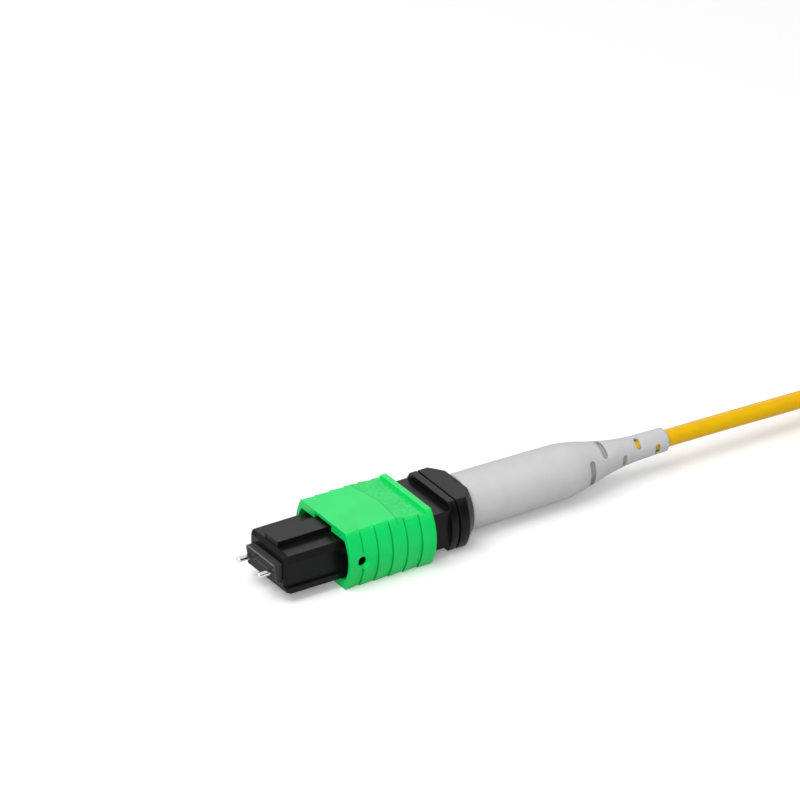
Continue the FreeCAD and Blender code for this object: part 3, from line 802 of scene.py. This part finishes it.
# %% Geometry tree helper
class Growth(Wiring):
    """A Geometry Nodes tree with a named input for each size of a piece."""

    def __init__(self, name, sizes):
        super().__init__(bpy.data.node_groups.new(name, "GeometryNodeTree"))
        self.name, self.sizes = name, sizes
        for size in sizes:
            self.tree.interface.new_socket(size, in_out="INPUT", socket_type="NodeSocketFloat")
        self.tree.interface.new_socket("Piece", in_out="OUTPUT",
                                       socket_type="NodeSocketGeometry")
        self.entry = self.tree.nodes.new("NodeGroupInput")

    def size(self, name):
        return Value(self, self.entry.outputs[name])

    def vector(self, x, y, z):
        return self.node("ShaderNodeCombineXYZ", {}, {"X": x, "Y": y, "Z": z})

    def piece(self, shape, paint):
        """Ends the tree, runs it and gives a plain mesh object."""
        real = self.node("GeometryNodeRealizeInstances", {}, {0: shape})
        smooth = self.node("GeometryNodeSetShadeSmooth", {}, {0: real})
        coated = self.node("GeometryNodeSetMaterial", {}, {0: smooth, "Material": paint.material})
        exit_node = self.tree.nodes.new("NodeGroupOutput")
        self.join(coated, exit_node.inputs[0])
        host = shown(self.name, bpy.data.meshes.new(self.name))
        modifier = host.modifiers.new("grow", "NODES")
        modifier.node_group = self.tree
        for item in self.tree.interface.items_tree:
            if item.in_out == "INPUT":
                modifier[item.identifier] = self.sizes[item.name]
        host.data = plain_mesh(host)
        host.modifiers.clear()
        print(self.name, "has", len(host.data.polygons), "faces")
        return host


# %% [markdown]
# ## Springs
# The ferrule sits on one oval coil, and the sleeve on two small round ones. A Screw modifier
# could sweep a round coil, but not an oval one with closed ends. Here each coil is a line of
# points that a rule bends into a helix, with one closed turn at each end, and a round wire
# follows it.

# %% Coils
steps_per_turn = 24


def coil(node, name, wire, turns):
    """Compression spring in the place of a CAD node."""
    low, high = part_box(node)
    middle = (low + high) / 2
    growth = Growth(name, {
        "Start": low.x + wire / 2, "Open Length": high.x - low.x - 3 * wire,
        "Half Width": (high.y - low.y - wire) / 2, "Half Height": (high.z - low.z - wire) / 2,
        "Wire": wire, "Open Turns": float(turns), "Side": middle.y, "Height": middle.z})
    line = growth.node("GeometryNodeMeshLine", {}, {"Count": (turns + 2) * steps_per_turn + 1})
    turn = growth.node("GeometryNodeInputIndex", {}, {}) / steps_per_turn
    open_turns, thick = growth.size("Open Turns"), growth.size("Wire")
    opened = (turn - 1).most(0).least(open_turns)
    closed = turn.least(1) + (turn - 1 - open_turns).most(0)
    along = (growth.size("Start") + thick * closed
             + growth.size("Open Length") * (opened / open_turns))
    angle = turn * (2 * math.pi)
    place = growth.vector(along, growth.size("Side") + growth.size("Half Width") * angle.cosine(),
                          growth.size("Height") + growth.size("Half Height") * angle.sine())
    helix = growth.node("GeometryNodeSetPosition", {}, {0: line, "Position": place})
    path = growth.node("GeometryNodeMeshToCurve", {}, {0: helix})
    ring = growth.node("GeometryNodeCurvePrimitiveCircle", {},
                       {"Resolution": 10, "Radius": thick * 0.5})
    tube = growth.node("GeometryNodeCurveToMesh", {},
                       {"Curve": path, "Profile Curve": ring, "Fill Caps": True})
    return growth.piece(tube, spring_paint)


# %% [markdown]
# A spring rides on the plug's body in place of its CAD node. The frame says which end of it
# stays fixed, and the joint's travel gives the length it would shorten to, but the coil keeps its
# length here.


# %% Springs on their joints
def ride_on_joint(piece, node, joint_name):
    """Puts a spring on the plug's body in place of its CAD node."""
    joint = next(j for j in frame["joints"] if j["name"] == joint_name)
    fixed = next(d["fixed_end_x_m"] for d in joint["deforming_nodes"] if d["node"] == node)
    low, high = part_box(node)
    length, travel = high.x - low.x, joint["range_m"][1]
    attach(piece, "plug")
    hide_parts(node)
    1 - travel / length
    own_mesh(piece)
    print("%s shortens from %.2f to %.2f mm" % (piece.name, length / mm, (length - travel) / mm))


ride_on_joint(coil("ferrule_spring", "ferrule_coil", 0.5 * mm, 5), "ferrule_spring",
              "ferrule_slide")
for side in ("left", "right"):
    node = "coupling_spring_" + side
    ride_on_joint(coil(node, "sleeve_coil_" + side, 0.2 * mm, 8), node, "sleeve_slide")

# %% [markdown]
# ## Fibre ends
# Twelve glass fibres are polished flush with the ferrule's slanted face. They could be copied by
# an Array modifier, but the slant would need a cut afterwards. Here one short rod is set on each
# point of a row, and the front of every rod is then sheared to the face's slope.

# %% Fibre row
fibre_count = 12


def fibre_row():
    """Twelve polished fibres in the place of the CAD ones."""
    low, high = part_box("optical_fibres")
    thick = high.z - low.z
    growth = Growth("fibre_ends", {
        "Thickness": thick, "Length": high.x - low.x, "Front": low.x, "Top": high.z,
        "First": low.y + thick / 2, "Pitch": (high.y - low.y - thick) / (fibre_count - 1)})
    length, front = growth.size("Length"), growth.size("Front")
    radius = growth.size("Thickness") * 0.5
    row = growth.node("GeometryNodeMeshLine", {}, {
        "Count": fibre_count,
        "Start Location": growth.vector(front + length * 0.5, growth.size("First"),
                                        growth.size("Top") - radius),
        "Offset": growth.vector(0.0, growth.size("Pitch"), 0.0)})
    rod = growth.node("GeometryNodeMeshCylinder", {}, {
        "Vertices": 16, "Radius": radius, "Depth": length})
    laid = growth.node("GeometryNodeTransform", {}, {0: rod, "Rotation": (0, math.pi / 2, 0)})
    rods = growth.node("GeometryNodeInstanceOnPoints", {}, {"Points": row, "Instance": laid})
    solid = growth.node("GeometryNodeRealizeInstances", {}, {0: rods})
    along, across, height = growth.split(growth.node("GeometryNodeInputPosition", {}, {}))
    lean = (growth.size("Top") - height) * face_slope
    at_front = (along - front).below(length * 0.5)
    sheared = growth.node("GeometryNodeSetPosition", {}, {
        0: solid, "Selection": at_front, "Offset": growth.vector(lean, 0.0, 0.0)})
    return growth.piece(sheared, fibre_paint)


fibres = fibre_row()
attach(fibres, "ferrule")
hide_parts("optical_fibres")

# %% [markdown]
# ## Ribbon
# The real ribbon bows a little inside its spring when the ferrule goes back. Here it is a copy of
# its CAD node with cuts across it, evenly along the ribbon.

# %% Ribbon
cuts = 24


def soft_ribbon():
    """Ribbon with cuts along it, in place of its CAD node."""
    low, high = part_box("fibre_ribbon")
    mesh = nodes["fibre_ribbon"].data.copy()
    form = welded(mesh)
    for count in range(1, cuts):
        place = Vector((low.x + (high.x - low.x) * count / cuts, 0, 0))
        bmesh.ops.bisect_plane(form, geom=form.verts[:] + form.edges[:] + form.faces[:],
                               plane_co=place, plane_no=(1, 0, 0))
    form.to_mesh(mesh)
    form.free()
    piece = shown("fibre_band", mesh)
    coat(piece, ribbon_paint)
    return piece


ribbon = soft_ribbon()
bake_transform(ribbon)
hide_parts("fibre_ribbon")

# %% [markdown]
# ## The studio
# The plug lies on a white table under soft light. The table shows white to the camera and in
# reflections, and still takes the plug's shadow. A shadow catcher would need compositing, so a
# little glow lifts the table to white instead. For bounced light it is a grey, so that it
# doesn't light the plug from below.

# %% Floor
half_floor = 3.0
floor_glow = 0.17
bounce_grey = (0.5, 0.5, 0.5, 1)
corners = [(-half_floor, -half_floor), (half_floor, -half_floor),
           (half_floor, half_floor), (-half_floor, half_floor)]
floor_mesh = bpy.data.meshes.new("table")
floor_mesh.from_pydata([(x, y, cad_box[0].z) for x, y in corners], [], [(0, 1, 2, 3)])
floor = shown("table", floor_mesh)


def seen_directly(wiring):
    """1 where the camera, a mirror-like surface or glass looks, and 0 for bounced light."""
    seen = wiring.node("ShaderNodeLightPath", {}, {}, "Is Camera Ray")
    for kind in ("Is Glossy Ray", "Is Transmission Ray"):
        seen = seen.most(wiring.node("ShaderNodeLightPath", {}, {}, kind))
    return seen


floor_paint = Paint("table_white", (0.88, 0.88, 0.88), 0.9, specular=0.0)
floor_paint.set("Emission Color", (1, 1, 1, 1))
floor_paint.set("Emission Strength", floor_glow)
bounce = floor_paint.node("ShaderNodeBsdfDiffuse", {}, {"Color": bounce_grey})
table_look = Value(floor_paint, floor_paint.shader.outputs[0])
pick = floor_paint.node("ShaderNodeMixShader", {},
                        {0: seen_directly(floor_paint), 1: bounce, 2: table_look})
floor_paint.join(pick, floor_paint.tree.nodes["Material Output"].inputs[0])
coat(floor, floor_paint)
print("floor lies at %.2f mm" % (cad_box[0].z / mm))

# %% [markdown]
# ## Lamps
# A broad lamp overhead draws the soft shadow, a fill in front opens the dark sides, and a panel
# behind grazes the tops. Area lamps suit glossy plastic, because their reflection is a broad
# sheen, where a point lamp would leave a hard spot.


# %% Lamps
def softbox(name, place, size, power):
    """Square area light that faces the plug."""
    light = bpy.data.lights.new(name, "AREA")
    light.shape = "SQUARE"
    light.size = size
    light.energy = power
    lamp = shown(name, light)
    lamp.location = place
    lamp.rotation_mode = "QUATERNION"
    lamp.rotation_quaternion = place.to_track_quat("Z", "Y")
    print("%s stands %.2f m away" % (name, place.length))


softbox("overhead", Vector((-0.21, -0.03, 0.42)), size=0.36, power=1.5)
softbox("front_fill", Vector((-0.36, -0.52, 0.28)), size=0.5, power=2.0)
softbox("back_panel", Vector((0.42, 0.60, 0.46)), size=0.38, power=0.42)

# %% [markdown]
# ## Black cards
# Polished pins also need something dark to mirror, or they look like chalk. In a studio black
# cards stand beside them. One stands low behind the plug and a taller one in front, and only
# mirror-like reflections see them.

# %% Cards
card_paint = Paint("card_black", (0.01, 0.01, 0.01), 0.9, specular=0.0)
half_card = 1.2


def black_card(name, away, high):
    """Long card beside the plug, which only reflections see."""
    corners = [(-half_card, away, 0), (half_card, away, 0),
               (half_card, away, high), (-half_card, away, high)]
    mesh = bpy.data.meshes.new(name)
    mesh.from_pydata(corners, [], [(0, 1, 2, 3)])
    card = shown(name, mesh)
    coat(card, card_paint)
    card.visible_camera = card.visible_diffuse = False
    card.visible_transmission = card.visible_shadow = False
    print("%s stands %.2f m away" % (name, abs(away)))


black_card("card_behind", away=0.9, high=0.22)
black_card("card_in_front", away=-0.9, high=0.6)

# %% [markdown]
# ## Surroundings
# The world lights the plug gently from all round. Where it is seen directly it is plain white.
# One strength for both would either flood the shadows or turn the backdrop grey, so the light
# path picks between two.

# %% World
world = bpy.data.worlds.new("studio")
world.use_nodes = True
bpy.context.scene.world = world
sky = Wiring(world.node_tree)
white = (1, 1, 1, 1)
room_light, backdrop_light = 0.42, 1.0
all_round = sky.node("ShaderNodeBackground", {}, {"Color": white, "Strength": room_light})
backdrop = sky.node("ShaderNodeBackground", {}, {"Color": white, "Strength": backdrop_light})
choose = sky.node("ShaderNodeMixShader", {}, {0: seen_directly(sky), 1: all_round, 2: backdrop})
sky.join(choose, sky.tree.nodes["World Output"].inputs[0])
bpy.context.scene.view_settings.view_transform = "Standard"
print("world has", len(sky.tree.nodes), "nodes")
